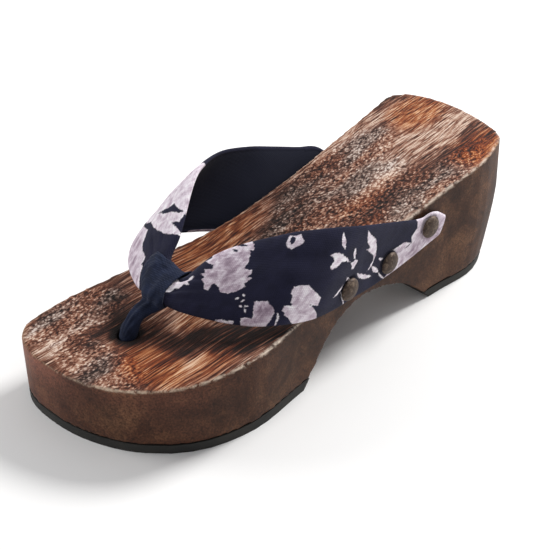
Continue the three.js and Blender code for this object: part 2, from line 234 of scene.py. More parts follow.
def worn_edges(piece):
    """How far each vertex stands out from its neighbours, as wear sees it: 0 flat, 1 sharp."""
    a, b, count = neighbours_of(piece)
    points = points_of(piece)
    middle = np.stack([sum_around(a, b, column) for column in points.T], axis=1)
    bump = ((points - middle / count[:, None]) * normals_of(piece)).sum(axis=1)
    return np.clip((spread_over(piece, bump, 1) - 0.045) / 0.07, 0, 1)


# Colours of the grain, from the burnt soft wood between the fibres to the fibres' tops.
BROWN_GRAIN = [
    (0.14, "#140a07"),
    (0.38, "#402218"),
    (0.55, "#744532"),
    (0.72, "#a8806a"),
    (0.92, "#dcc3b0"),
]
GREY_GRAIN = [
    (0.18, "#130c0a"),
    (0.38, "#33231d"),
    (0.55, "#6b5349"),
    (0.72, "#a18c80"),
    (0.92, "#d9cac0"),
]
RUSTY_GRAIN = [
    (0.18, "#150805"),
    (0.36, "#4a1e0e"),
    (0.55, "#8a3f1a"),
    (0.74, "#b87644"),
    (0.92, "#dfb48e"),
]


def burnt_wood():
    """Paulownia-like softwood, burnt, wire-brushed and wiped with stain: near-black soft grain
    between pale raised fibres, rust where the burn is thin, and a smooth smoky wall."""
    material, tree, shader, mm = new_material("burnt_brushed_softwood")
    pale, rust, curl, char_and_shade, worn, footbed, toe_red_and_lit = (
        add(tree, "ShaderNodeAttribute", out="Fac", attribute_name=name)
        for name in ("pale", "rust", "curl", "char_and_shade", "worn", "footbed", "toe_red_and_lit")
    )

    # The grain wanders a few millimetres from straight.
    drift = add(tree, "ShaderNodeTexNoise", {"Vector": mm, "Scale": 0.02, "Detail": 1}, out="Color")
    grain = add(tree, "ShaderNodeVectorMath", {0: drift, 1: (9, 0, 3), 2: mm}, operation="MULTIPLY_ADD")

    # Fibres under 1 mm wide and 15 to 30 mm long.
    run = add(tree, "ShaderNodeVectorMath", {0: grain, 1: (1.35, 0.03, 0.6)}, operation="MULTIPLY")
    fibre = add(tree, "ShaderNodeTexNoise", {"Vector": run, "Scale": 1.0, "Detail": 3, "Roughness": 0.7})
    fibre = add(tree, "ShaderNodeMapRange", {"Value": fibre, "From Min": 0.28, "From Max": 0.72})

    # Curly places: the fibres break into short wriggles 1 to 2 mm across, with burnt gaps.
    twist_at = add(tree, "ShaderNodeVectorMath", {0: grain, 1: (0.82, 0.5, 0.5)}, operation="MULTIPLY")
    twist = add(
        tree,
        "ShaderNodeTexNoise",
        {"Vector": twist_at, "Scale": 1.0, "Detail": 2, "Roughness": 0.45, "Distortion": 1.4},
    )
    twist = add(tree, "ShaderNodeMapRange", {"Value": twist, "From Min": 0.26, "From Max": 0.72})
    cells = add(tree, "ShaderNodeTexVoronoi", {"Vector": twist_at, "Scale": 1.15}, feature="SMOOTH_F1")
    cells = add(tree, "ShaderNodeMapRange", {"Value": cells, "From Min": 0.75, "From Max": 0.1})
    wriggle = add(tree, "ShaderNodeMix", {0: 0.5, 2: twist, 3: cells})

    blend = add(tree, "ShaderNodeTexNoise", {"Vector": run, "Scale": 0.5, "Detail": 2})
    blend = add(tree, "ShaderNodeMath", {0: blend, 1: 0.9, 2: curl}, operation="MULTIPLY_ADD")
    blend = add(tree, "ShaderNodeMapRange", {"Value": blend, "From Min": 0.6, "From Max": 1.05})
    raised = add(tree, "ShaderNodeMix", {0: blend, 2: fibre, 3: wriggle})
    patch_at = add(tree, "ShaderNodeVectorMath", {0: grain, 1: (0.1, 0.016, 0.06)}, operation="MULTIPLY")
    patch = add(tree, "ShaderNodeTexNoise", {"Vector": patch_at, "Scale": 1.0, "Detail": 3})
    patch = add(
        tree,
        "ShaderNodeMapRange",
        {"Value": patch, "From Min": 0.35, "From Max": 0.65, "To Min": -0.1, "To Max": 0.1},
    )
    shift = add(tree, "ShaderNodeMath", {0: raised, 1: patch}, operation="ADD")
    shift = add(tree, "ShaderNodeMath", {0: pale, 1: 0.17, 2: shift}, operation="MULTIPLY_ADD")
    # Char darkens the grain; it also carries painted shadow under the lateral arm and round the thong.
    shift = add(tree, "ShaderNodeMath", {0: char_and_shade, 1: -0.25, 2: shift}, operation="MULTIPLY_ADD")
    brown = add(tree, "ShaderNodeValToRGB", {0: shift}, stops=BROWN_GRAIN)
    grey = add(tree, "ShaderNodeValToRGB", {0: shift}, stops=GREY_GRAIN)
    rusty = add(tree, "ShaderNodeValToRGB", {0: shift}, stops=RUSTY_GRAIN)
    sort_at = add(tree, "ShaderNodeVectorMath", {0: grain, 1: (0.07, 0.02, 0.05)}, operation="MULTIPLY")
    sort = add(tree, "ShaderNodeTexNoise", {"Vector": sort_at, "Scale": 1.0, "Detail": 2}, out="Color")
    sort = add(tree, "ShaderNodeSeparateColor", {0: sort}, out=1)
    sort = add(tree, "ShaderNodeMapRange", {"Value": sort, "From Min": 0.44, "From Max": 0.58})
    sort = add(tree, "ShaderNodeMath", {0: sort, 1: blend}, operation="MULTIPLY")
    bed = add(tree, "ShaderNodeMix", {0: sort, 6: brown, 7: grey}, out=2, data_type="RGBA")
    bed = add(tree, "ShaderNodeMix", {0: rust, 6: bed, 7: rusty}, out=2, data_type="RGBA")

    # The wall: stain wiped over smooth cut wood, smoky in places, redder at the toe, where it is also
    # painted lighter on the medial side and toward the top, as painted light.
    mottle = add(
        tree,
        "ShaderNodeTexNoise",
        {"Vector": mm, "Scale": 0.05, "Detail": 5, "Roughness": 0.65, "Distortion": 0.5},
    )
    wall = add(
        tree,
        "ShaderNodeValToRGB",
        {0: mottle},
        stops=[(0.32, "#28160d"), (0.5, "#452b1d"), (0.68, "#674731")],
    )
    toe_red_and_lit_mix = add(tree, "ShaderNodeMath", {0: toe_red_and_lit, 1: 0.65}, operation="MULTIPLY")
    wall = add(tree, "ShaderNodeMix", {0: toe_red_and_lit_mix, 6: wall, 7: "#8e5644"}, out=2, data_type="RGBA")
    smoke = add(
        tree,
        "ShaderNodeTexNoise",
        {"Vector": mm, "Scale": 0.03, "Detail": 4, "Roughness": 0.6, "Distortion": 1.0},
    )
    smoke = add(
        tree, "ShaderNodeMapRange", {"Value": smoke, "From Min": 0.55, "From Max": 0.72, "To Max": 0.5}
    )
    wall = add(tree, "ShaderNodeMix", {0: smoke, 6: wall, 7: "#1c120e"}, out=2, data_type="RGBA")
    grit = add(tree, "ShaderNodeTexNoise", {"Vector": mm, "Scale": 1.1, "Detail": 3, "Roughness": 0.7})
    speckle = add(
        tree,
        "ShaderNodeMapRange",
        {"Value": grit, "From Min": 0.3, "From Max": 0.7, "To Min": 0.35, "To Max": 1.65},
    )
    wall = add(
        tree, "ShaderNodeMix", {0: 1.0, 6: wall, 7: speckle}, out=2, data_type="RGBA", blend_type="MULTIPLY"
    )
    colour = add(tree, "ShaderNodeMix", {0: footbed, 6: wall, 7: bed}, out=2, data_type="RGBA")

    # Bare pale wood where the top edge has rubbed, in broken chips.
    chip = add(tree, "ShaderNodeTexNoise", {"Vector": mm, "Scale": 0.22, "Detail": 5, "Roughness": 0.75})
    chip = add(tree, "ShaderNodeMapRange", {"Value": chip, "From Min": 0.4, "From Max": 0.52})
    rubbed = add(tree, "ShaderNodeMath", {0: worn, 1: chip}, operation="MULTIPLY")
    # The rubbed rim turns orange-tan toward the toe, by the same mask that holds the wall's red and its
    # painted light.
    bare = add(tree, "ShaderNodeMix", {0: toe_red_and_lit, 6: "#e8d5c2", 7: "#dcb98c"}, out=2, data_type="RGBA")
    colour = add(tree, "ShaderNodeMix", {0: rubbed, 6: colour, 7: bare}, out=2, data_type="RGBA")
    tree.links.new(colour, shader.inputs["Base Color"])

    brushed = add(tree, "ShaderNodeMath", {0: raised, 1: footbed}, operation="MULTIPLY")
    relief = add(tree, "ShaderNodeMath", {0: grit, 1: 0.2, 2: brushed}, operation="MULTIPLY_ADD")
    bump = add(tree, "ShaderNodeBump", {"Strength": 0.6, "Distance": 0.0008, "Height": relief})
    tree.links.new(bump, shader.inputs["Normal"])
    gloss = add(tree, "ShaderNodeMapRange", {"Value": grit, "To Min": 0.45, "To Max": 0.7})
    tree.links.new(gloss, shader.inputs["Roughness"])
    shader.inputs["Specular IOR Level"].default_value = 0.2
    return material


def make_block():
    block = copy_of("wooden_base", "block")
    apply(block, "REMESH", mode="VOXEL", voxel_size=BLOCK_VOXEL * MM, use_smooth_shade=True)
    apply(block, "SMOOTH", factor=0.5, iterations=4)
    points, normals = points_of(block), normals_of(block)
    up = spread_over(block, ease(0.45, 0.8, normals[:, 2]), 1)
    from_hole = np.hypot(points[:, 0] - HOLE_X, points[:, 1] - HOLE_Y)
    for finish_name in ("pale", "rust", "curl", "char_and_shade"):
        amount = np.zeros(len(points))
        for zone in FOOTBED_ZONES:
            if zone["finish"] == finish_name:
                dx, dy = (points[:, 0] - zone["x"]) / zone["rx"], (points[:, 1] - zone["y"]) / zone["ry"]
                amount = np.maximum(amount, zone["amount"] * (1 - ease(0.55, 1.35, np.hypot(dx, dy))))
        # Painted shadow: the footbed is darkened round the thong's hole, where the cord shades it.
        if finish_name == "char_and_shade":
            amount = np.maximum(amount, 2.5 * (1 - ease(4, 10, from_hole)))
        keep(block, finish_name, amount)
    # The hole's inside counts as footbed, so the painted shadow round the cord runs down into it.
    keep(block, "footbed", np.maximum(up, 1 - ease(7, 8, from_hole)))
    top_edge = ease(0.15, 0.35, normals[:, 2]) * ease(18, 30, points[:, 2]) * ease(9, 13, from_hole)
    handled = 0.35 + 0.65 * ease(-6, 22, points[:, 0]) * (1 - ease(104, 112, points[:, 1]))
    keep(block, "worn", worn_edges(block) * top_edge * handled)
    # Redder wood toward the toe, with painted light: lighter on the medial side and higher up the wall.
    toward_toe = 1 - ease(-112, -40, points[:, 1])
    medial_side = 0.33 + 0.67 * (1 - ease(-25, 12, points[:, 0]))
    keep(block, "toe_red_and_lit", toward_toe * medial_side * (0.35 + 0.65 * ease(14, 30, points[:, 2])))
    finish(block, burnt_wood(), "wooden_base")


# ---------------------------------------------------------------- rubber outsoles


def moulded_rubber():
    """Moulded black rubber: nearly matt, with a fine pebbled skin and dust in it."""
    material, tree, shader, mm = new_material("moulded_black_rubber")
    pebble = add(tree, "ShaderNodeTexNoise", {"Vector": mm, "Scale": 1.4, "Detail": 3, "Roughness": 0.6})
    dust = add(tree, "ShaderNodeTexNoise", {"Vector": mm, "Scale": 0.08, "Detail": 4, "Roughness": 0.6})
    colour = add(tree, "ShaderNodeValToRGB", {0: dust}, stops=[(0.35, "#161614"), (0.7, "#2d2b27")])
    tree.links.new(colour, shader.inputs["Base Color"])
    bump = add(tree, "ShaderNodeBump", {"Strength": 0.35, "Distance": 0.0003, "Height": pebble})
    tree.links.new(bump, shader.inputs["Normal"])
    rough = add(tree, "ShaderNodeMapRange", {"Value": dust, "To Min": 0.62, "To Max": 0.9})
    tree.links.new(rough, shader.inputs["Roughness"])
    return material


def make_outsoles():
    rubber = moulded_rubber()
    for node_name, name in (("front_outsole", "front_rubber"), ("heel_outsole", "heel_rubber")):
        sole = copy_of(node_name, name)
        apply(sole, "BEVEL", width=0.5 * MM, segments=3, limit_method="ANGLE", angle_limit=math.radians(40))
        finish(sole, rubber, node_name)
        only(sole)
        bpy.ops.object.shade_smooth_by_angle(angle=math.radians(35))


# ---------------------------------------------------------------- the padded arms


# Sections from the medial arm's rear end, round the front joint, to the lateral arm's rear
# end: upper edge (ux, uy, uz), lower edge (wx, wy, wz), padding and outward arching.
SECTION_COLUMNS = ("s", "ux", "uy", "uz", "wx", "wy", "wz", "thick", "arching")
SECTIONS = [
    (-1, -34.9, 67, 44.5, -34.9, 63, 38, 2.4, 0),
    (-0.99, -35.1, 63.5, 48.2, -34.1, 55.5, 34.6, 2.6, -0.3),
    (-0.96, -36.6, 58.5, 52.4, -33, 41, 31.6, 2.7, -1),
    (-0.9, -38.6, 48.5, 55.2, -32.9, 22, 30.6, 2.9, -1.8),
    (-0.82, -40.6, 34.7, 59.8, -33.6, 2, 32, 3.2, -1.4),
    (-0.72, -41, 19.6, 65.2, -38.4, -17, 36.5, 3.5, 0.4),
    (-0.62, -39.2, 2.5, 70.2, -41.6, -34, 41, 3.6, 1),
    (-0.52, -34.5, -11.5, 71.8, -40.6, -48, 43.6, 3.6, 1),
    (-0.4, -28.2, -23.5, 70.6, -34.6, -57.8, 42, 3.6, 1),
    (-0.18, -12.1, -47.1, 58.6, -16.9, -68.4, 41.8, 3.6, 1.2),
    (-0.09, -8.2, -55.7, 52.6, -9.7, -70.6, 42.6, 4.4, 0.9),
    (0, -1, -56.8, 47, -2.7, -71.6, 43.4, 5.4, 0.6),
    (0.09, 3.8, -53.4, 49.3, 4.8, -70.4, 42.5, 4.4, 0.9),
    (0.18, 9.7, -47.1, 58.6, 12.2, -67.9, 41.3, 3.6, 1.4),
    (0.4, 30, -25.3, 68.4, 34.2, -55.6, 39.8, 3.6, 1.6),
    (0.52, 38, -17, 70.2, 43.6, -46.4, 39.8, 3.6, 1.6),
    (0.62, 43, -6.8, 69.2, 46.7, -31.2, 36.3, 3.6, 1.5),
    (0.72, 43.8, 5.6, 65, 43.8, -13.9, 31.6, 3.5, 0.4),
    (0.82, 42.2, 19, 59.8, 41.6, 1, 30, 3.2, -0.8),
    (0.9, 40, 34.6, 53.6, 39.3, 20.6, 28.6, 2.9, -1),
    (0.96, 38.2, 49.4, 48.2, 37.9, 38, 29.7, 2.7, -0.5),
    (0.99, 37.5, 60.2, 46.8, 37.4, 54, 32.4, 2.6, 0),
    (1, 37.4, 66, 42.6, 37.4, 62, 34.2, 2.4, 0),
]

# Printed motifs on the arms' outer face, as outlines in millimetres of cloth: along the arm
# from the front joint (medial negative) and across it from the middle (lower edge positive).
# tone runs from 0, almost white, to 1, mauve grey.
BLOSSOMS = [
    (0.1, [(0.4, -5.6), (4.4, -3.2), (8, -1), (10.8, -0.8), (12.8, -2.8), (14.2, -2.2), (12.8, 0),
           (14.2, 1.6), (11.6, 1), (10, 2.6), (7.2, 2), (6, 4), (3.4, 4.2), (4, 0), (1.6, -3.6)]),
    (0.6, [(15.2, -13.2), (20.4, -15.8), (26, -17.6), (29.6, -18.4), (31.6, -16.4), (33.4, -12.6),
           (31.4, -13.6), (32.4, -11.6), (33.6, -8), (33.2, -4.8), (37.2, -3.6), (37.4, -2.2),
           (36.2, -0.8), (38.6, 0), (36.6, 2.2), (37.6, 3.6), (35.2, 5.6), (32, 6.6), (28.4, 5.8),
           (26.8, 3.6), (24.4, 1.6), (23.4, 2), (22.8, 4.6), (20.8, 4), (20, 1.6), (17.6, -0.8),
           (18.6, -1.6), (16.2, -3.4), (18, -3.8), (16.6, -5.6), (20.2, -5), (19.6, -7.2),
           (17.2, -8.2), (14.6, -10), (16.6, -11.4)]),
    (0.3, [(45, -19.4), (45.6, -16), (47.2, -13.4), (49.2, -12.6), (50.4, -13.6), (52.2, -14.4),
           (52.6, -16), (51.6, -17.6), (50, -19.4), (48, -19)]),
    (0.3, [(31.6, 18.2), (34, 18), (36.4, 18.8), (39.2, 18.8), (40, 21.6), (33, 20.4)]),
    (0.9, [(44.4, 10.8), (49.2, 10.6), (51.2, 12.4), (53, 14.4), (53.4, 17.2), (52.6, 22), (43.2, 22),
           (42, 18), (44, 17.6), (46.4, 18.4), (46.6, 17.4), (45.6, 14.4)]),
    (0.4, [(56.2, 4), (58, 3.6), (61.2, 3.4), (63.6, 5.2), (66, 7), (69.5, 9.5), (69.7, 13), (67, 12.6),
           (65.4, 12.2), (68.5, 14.2), (71, 16.5), (74, 20), (73, 21), (62.5, 21), (60, 18.5),
           (57.5, 16.5), (55.8, 14.5), (55.6, 12.4), (58.4, 12.4), (57.4, 11), (57, 8.6), (55.6, 6)]),
    (0.15, [(66.5, -9), (68, -10), (70.5, -9.8), (73.5, -8.6), (77, -6.8), (81, -4.3), (77, -5.6),
            (74, -5.6), (71.5, -3.6), (69, -2.6), (68.2, -4.5), (69.4, -6), (68.6, -8)]),
    (0.15, [(81.2, -4.3), (83, -4.2), (85, -5), (87.2, -4), (86.5, -0.5), (84.5, -0.5), (83.5, -2.5)]),
    (0.2, [(87.5, -17), (92, -14), (97, -11), (101, -6.5), (103.5, -2.5), (104.6, 0), (103.4, 0),
           (102, -2.2), (97, -5), (92, -7.6), (95.4, -7.6), (90.5, -11), (88.5, -14)]),
    (0.45, [(128.2, -12.6), (140, -11), (151, -7.5), (156, -5), (156, 6), (146, 9.5), (140, 11),
            (131, 11.5), (120, 13.5), (126, 9), (126.5, 6), (122.5, 1.5), (118.5, -0.5),
            (125.5, -2.5), (132, -0.3), (129.2, -4), (131.2, -7.5)]),
    (0.25, [(-28, -20), (-49.7, -25), (-54.7, -19.6), (-61.4, -15.7), (-65.3, -10.2), (-70.3, -0.2),
            (-73, 8.2), (-69.7, 10), (-75.3, 14.3), (-70.3, 17.3), (-78, 24.4), (-67, 24.4),
            (-63.6, 19.8), (-56.9, 14.8), (-52.5, 13.2), (-45.8, 9.3), (-42, 4.8), (-34.7, 1.5),
            (-30, -1.3), (-23.6, -5.7), (-19.7, -9), (-15.3, -14.5), (-18, -14), (-25.3, -10.2),
            (-22, -14.6), (-24.2, -17)]),
    (0.45, [(-60, 25), (-58.6, 20.4), (-57, 17), (-51.4, 14.3), (-44.7, 10.4), (-38, 6), (-34.7, 7),
            (-32.5, 8.7), (-28, 8.2), (-22, 6), (-19.7, 8.2), (-18, 7), (-15.3, 8.2), (-10.3, 9.3),
            (-10.8, 13), (-30, 22), (-47, 25)]),
    (0.8, [(-81, 24), (-83, 15), (-80, 12), (-84, 9), (-89, 5), (-88, 11), (-92, 10), (-90, 15),
           (-96, 16), (-93, 20), (-98, 23)]),
    (0.3, [(-84, -1), (-86, -7), (-90, -11), (-92, -8), (-89, -3), (-87, 2)]),
    (0.5, [(-97, 12), (-96, 5), (-100, 0), (-106, -3), (-109, 0), (-106, 6), (-108, 10), (-102, 14)]),
    (0.4, [(-100, -6), (-104, -12), (-110, -12), (-113, -8), (-108, -5), (-104, -3)]),
    (0.5, [(-112, 12), (-111, 4), (-116, -2), (-120, -8), (-123, -6), (-119, 1), (-121, 7), (-117, 13)]),
    (0.3, [(-122, -10), (-126, -14), (-131, -12), (-132, -7), (-127, -5)]),
    (0.45, [(-131, 12), (-130, 4), (-136, -1), (-142, -8), (-149, -6), (-151, 2), (-146, 9), (-138, 12)]),
]

# Slender leaves and stems of the print: from, to, width at the middle and bend, in millimetres.
LEAVES = [
    (69.6, -18.6, 73.2, -11, 2.0, 0.4),
    (81, -10.8, 83.9, -5.6, 1.7, 0.3),
    (82.4, 2.4, 89.4, 5.6, 1.6, 0.5),
    (83.2, 5.8, 78, 11, 1.5, -0.4),
    (84.4, 9, 93.2, 18.4, 0.8, 0.3),
    (104.4, -0.4, 101, 4.8, 1.2, -0.9),
    (92, 3.2, 108, 8.6, 2.0, 1.0),
    (104.5, 3.4, 113, 8.2, 1.9, 0.3),
    (108.6, 0.8, 113.4, 2.6, 1.2, 0.2),
    (112.6, 8.2, 120.4, 13.6, 0.8, 0.2),
    (54.4, 15.4, 55.8, 21, 0.7, -0.3),
    (36.2, 9.6, 37.2, 8.4, 1.1, 0.0),
    (38.2, 6.6, 39.6, 8, 0.9, 0.4),
    (39, 10.6, 40, 9.6, 0.9, 0.0),
    (39, 12.2, 40.4, 13, 0.9, 0.0),
    (41, 12, 42.8, 12.8, 0.8, 0.2),
    (41.6, 13.8, 42.8, 15.4, 0.8, 0.0),
    (-92, 2, -95, -6, 1.8, 0.3),
    (-93, 18, -97, 20, 1.2, 0.0),
    (-114, -12, -118, -16, 1.0, 0.3),
    (-124, 4, -127, -2, 1.2, 0.4),
]

# Bare cloth inside the blossoms: the navy eyes and veins, from, to, width and bend.
VEINS = [
    (23.6, -14.6, 27, -13.2, 1.1, 0.2),
    (24.2, -16.6, 29.6, -15.6, 1.3, -0.2),
    (46.6, -18.8, 48.4, -14.6, 2.4, -0.4),
    (-64.7, 8.2, -71.4, 12, 2.4, 0.5),
    (-56.4, 10.6, -66, 9.6, 1.4, 0.4),
    (132.4, -0.2, 127, 1.4, 0.8, 0.0),
]

# Bare cloth cut into the blossoms, as outlines.
NOTCHES = [
    [(-25, -17.6), (-29.1, -14.6), (-34.7, -11.9), (-35.4, -9.6), (-37, -6.7), (-42, 0.4), (-43.6, 2.6),
     (-39, -2.6), (-36, -4.6), (-31.1, -10.4), (-26.3, -14.9)],
]

ALONG_STEP = 0.5  # spacing of the arms' grid along the cloth
OUTER_STEPS = 88  # steps across the outer cloth
LINING_STEPS = 36  # steps back across the lining
HEAD_UNDERSIDE = -3.37  # highest the cloth may come under a tack's head, from its crown
TACK_NODES = [
    f"{side}_{row}_tack" for side in ("lateral", "medial") for row in ("rear", "middle", "front")
]


def section_at(s):
    """One row of section values for each s, by the cubic that runs through the drawing."""
    table = np.array(SECTIONS, float)
    knots, values = table[:, 0], table[:, 1:]
    i = np.clip(np.searchsorted(knots, s, side="right"), 1, len(knots) - 1)
    before = np.where(i >= 2, i - 2, i)
    after = np.where(i + 1 < len(knots), i + 1, i - 1)
    t0, t1 = knots[i - 1], knots[i]
    half = (t1 - t0) / 2
    early = half / (t0 - knots[before])
    late = half / (knots[after] - t1)
    t = (s - t0) / (t1 - t0)
    square, cube = t**2, t**3
    weights = (
        (-early * cube + 2 * early * square - early * t, before),
        ((1 + early) * cube + (-1.5 - 2 * early) * square + (-0.5 + early) * t + 1, i - 1),
        ((-1 - late) * cube + (1.5 + late) * square + 0.5 * t, i),
        (late * cube - late * square, after),
    )
    found = sum(weight[:, None] * values[row] for weight, row in weights)
    return {name: found[:, k] for k, name in enumerate(SECTION_COLUMNS[1:])}


def unit(vectors):
    return vectors / np.linalg.norm(vectors, axis=-1, keepdims=True)


def arm_frame(s):
    """Section values, middle, upper edge and lower edge of the arms at each s."""
    row = section_at(s)
    upper = np.stack([row["ux"], row["uy"], row["uz"]], axis=1)
    lower = np.stack([row["wx"], row["wy"], row["wz"]], axis=1)
    return row, (upper + lower) / 2, upper, lower


def arm_stations():
    """s values every half millimetre of cloth, and the cloth's length at each."""
    fine = np.linspace(-1, 1, 4001)
    middle = arm_frame(fine)[1]
    length = np.concatenate([[0], np.cumsum(np.linalg.norm(np.diff(middle, axis=0), axis=1))])
    length -= np.interp(0, fine, length)
    steps = np.linspace(length[0], length[-1], int((length[-1] - length[0]) / ALONG_STEP))
    return np.interp(steps, length, fine), steps


def inside_distance(points, outline):
    """How far points lie inside a closed outline, in millimetres; negative outside."""
    corners = np.array(outline, float)
    best = np.full(len(points), 1e9)
    inside = np.zeros(len(points), bool)
    for a, b in zip(corners, np.roll(corners, -1, axis=0)):
        edge = b - a
        t = np.clip(((points - a) @ edge) / (edge @ edge), 0, 1)
        best = np.minimum(best, np.linalg.norm(points - a - t[:, None] * edge, axis=1))
        rises = (a[1] > points[:, 1]) != (b[1] > points[:, 1])
        with np.errstate(divide="ignore", invalid="ignore"):
            crossing = a[0] + (points[:, 1] - a[1]) * edge[0] / edge[1]
        inside ^= rises & (points[:, 0] < crossing)
    return np.where(inside, best, -best)


def leaf_outline(x0, y0, x1, y1, width, bend):
    """A pointed leaf from one place to another, bowed to one side."""
    start, run = np.array([x0, y0]), np.array([x1 - x0, y1 - y0])
    side = np.array([-run[1], run[0]]) / np.hypot(*run)
    t = np.linspace(0, 1, 7)
    spine = start + t[:, None] * run + (bend * 4 * t * (1 - t))[:, None] * side
    reach = (width / 2 * np.sin(np.pi * t) ** 0.8)[:, None] * side
    return np.vstack([spine + reach, (spine - reach)[-2:0:-1]])


def print_chart(along, across):
    """Distance into the print and its tone, for places on the cloth."""
    cloth = np.stack([along, across], axis=1)
    depth, tone = np.full(len(cloth), -9.0), np.zeros(len(cloth))
    shapes = BLOSSOMS + [(0.15, leaf_outline(*leaf)) for leaf in LEAVES]
    for shade, outline in shapes:
        low, high = np.min(outline, axis=0) - 2, np.max(outline, axis=0) + 2
        near = np.flatnonzero(((cloth > low) & (cloth < high)).all(axis=1))
        found = inside_distance(cloth[near], outline)
        closer = found > depth[near]
        depth[near[closer]] = found[closer]
        tone[near[closer]] = shade
    for outline in NOTCHES + [leaf_outline(*vein) for vein in VEINS]:
        depth = np.minimum(depth, -inside_distance(cloth, outline))
    return depth, tone


def tack_seat(node_name):
    """A tack's tip and the middle of its head's crown, in the drawing's millimetres."""
    points = points_of(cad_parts[node_name])
    middle = points.mean(axis=0)
    tip = points[np.argmax(np.linalg.norm(points - middle, axis=1))]
    crown = points[np.argmax((points - tip) @ unit(middle - tip))]
    return tip, crown


def printed_cotton():
    """Plain-woven cotton, dyed navy and discharge-printed: matt, with a soft cross-hatch of
    threads; the print is chalky, cloudy within each petal and a little ragged at its edge."""
    material, tree, shader, _ = new_material("printed_navy_cotton")
    depth, tone, lining = (
        add(tree, "ShaderNodeAttribute", out="Fac", attribute_name=name)
        for name in ("print_depth", "print_tone", "lining")
    )
    cloth = add(tree, "ShaderNodeUVMap", uv_map="cloth")
    rag = add(tree, "ShaderNodeTexNoise", {"Vector": cloth, "Scale": 0.8, "Detail": 3, "Roughness": 0.65})
    edge = add(tree, "ShaderNodeMath", {0: rag, 1: 1.6, 2: depth}, operation="MULTIPLY_ADD")
    printed = add(
        tree,
        "ShaderNodeMapRange",
        {"Value": edge, "From Min": 0.55, "From Max": 1.0},
        interpolation_type="SMOOTHSTEP",
    )
    petal = add(
        tree,
        "ShaderNodeTexNoise",
        {"Vector": cloth, "Scale": 0.3, "Detail": 5, "Roughness": 0.62, "Distortion": 0.4},
    )
    inward = add(
        tree, "ShaderNodeMapRange", {"Value": depth, "From Min": 0.0, "From Max": 5.0, "To Max": 0.28}
    )
    shade = add(tree, "ShaderNodeMath", {0: tone, 1: inward}, operation="MULTIPLY")
    shade = add(tree, "ShaderNodeMath", {0: tone, 1: 0.18, 2: shade}, operation="MULTIPLY_ADD")
    shade = add(tree, "ShaderNodeMath", {0: petal, 1: shade}, operation="ADD")
    chalk = add(
        tree,
        "ShaderNodeValToRGB",
        {0: shade},
        stops=[(0.42, "#fbf6f9"), (0.58, "#e6dae3"), (0.74, "#c0adbb"), (0.9, "#94808f")],
    )
    dye = add(tree, "ShaderNodeTexNoise", {"Vector": cloth, "Scale": 0.12, "Detail": 5, "Roughness": 0.65})
    navy = add(tree, "ShaderNodeValToRGB", {0: dye}, stops=[(0.3, "#17172a"), (0.7, "#22223a")])
    plain = add(tree, "ShaderNodeMix", {0: lining, 6: navy, 7: "#131627"}, out=2, data_type="RGBA")
    colour = add(tree, "ShaderNodeMix", {0: printed, 6: plain, 7: chalk}, out=2, data_type="RGBA")
    warp, weft = (
        add(
            tree,
            "ShaderNodeTexWave",
            {"Vector": cloth, "Scale": THREAD_SCALE, "Distortion": 0.6, "Detail": 1.0, "Detail Scale": 2.0},
            out="Fac",
            bands_direction=direction,
        )
        for direction in ("X", "Y")
    )
    weave = add(tree, "ShaderNodeMath", {0: warp, 1: weft}, operation="MULTIPLY")
    slub = add(tree, "ShaderNodeTexNoise", {"Vector": cloth, "Scale": 0.5, "Detail": 3})
    hatch = add(tree, "ShaderNodeMapRange", {"Value": weave, "To Min": 0.88, "To Max": 1.1})
    woven = add(
        tree, "ShaderNodeMix", {0: 1.0, 6: colour, 7: hatch}, out=2, data_type="RGBA", blend_type="MULTIPLY"
    )
    tree.links.new(woven, shader.inputs["Base Color"])
    height = add(tree, "ShaderNodeMath", {0: slub, 1: 0.6, 2: weave}, operation="MULTIPLY_ADD")
    bump = add(tree, "ShaderNodeBump", {"Strength": 0.45, "Distance": 0.0003, "Height": height})
    tree.links.new(bump, shader.inputs["Normal"])
    shader.inputs["Roughness"].default_value = 0.88
    shader.inputs["Specular IOR Level"].default_value = 0.2
    shader.inputs["Sheen Weight"].default_value = 0.04
    shader.inputs["Sheen Roughness"].default_value = 0.5
    return material


# Creases of the outer cloth: along, across, reach along, reach across, depth (mm), slant.
CREASES = [
    (9, -2, 9, 0.9, 0.5, 0.12),
    (11, 3.5, 10, 1.0, 0.45, 0.05),
    (16, 8, 12, 1.2, 0.35, 0.2),
    (-22, 1, 9, 1.1, 0.45, -0.1),
    (-24, 7, 10, 1.2, 0.4, -0.15),
    (-26, -6, 10, 1.1, 0.35, 0.2),
    (60, -8, 26, 3.5, 0.4, 0.05),
    (96, 0, 20, 2.2, 0.35, 0.1),
    (-70, 4, 24, 3.0, 0.4, 0.05),
    (-100, 2, 20, 2.4, 0.35, -0.1),
]


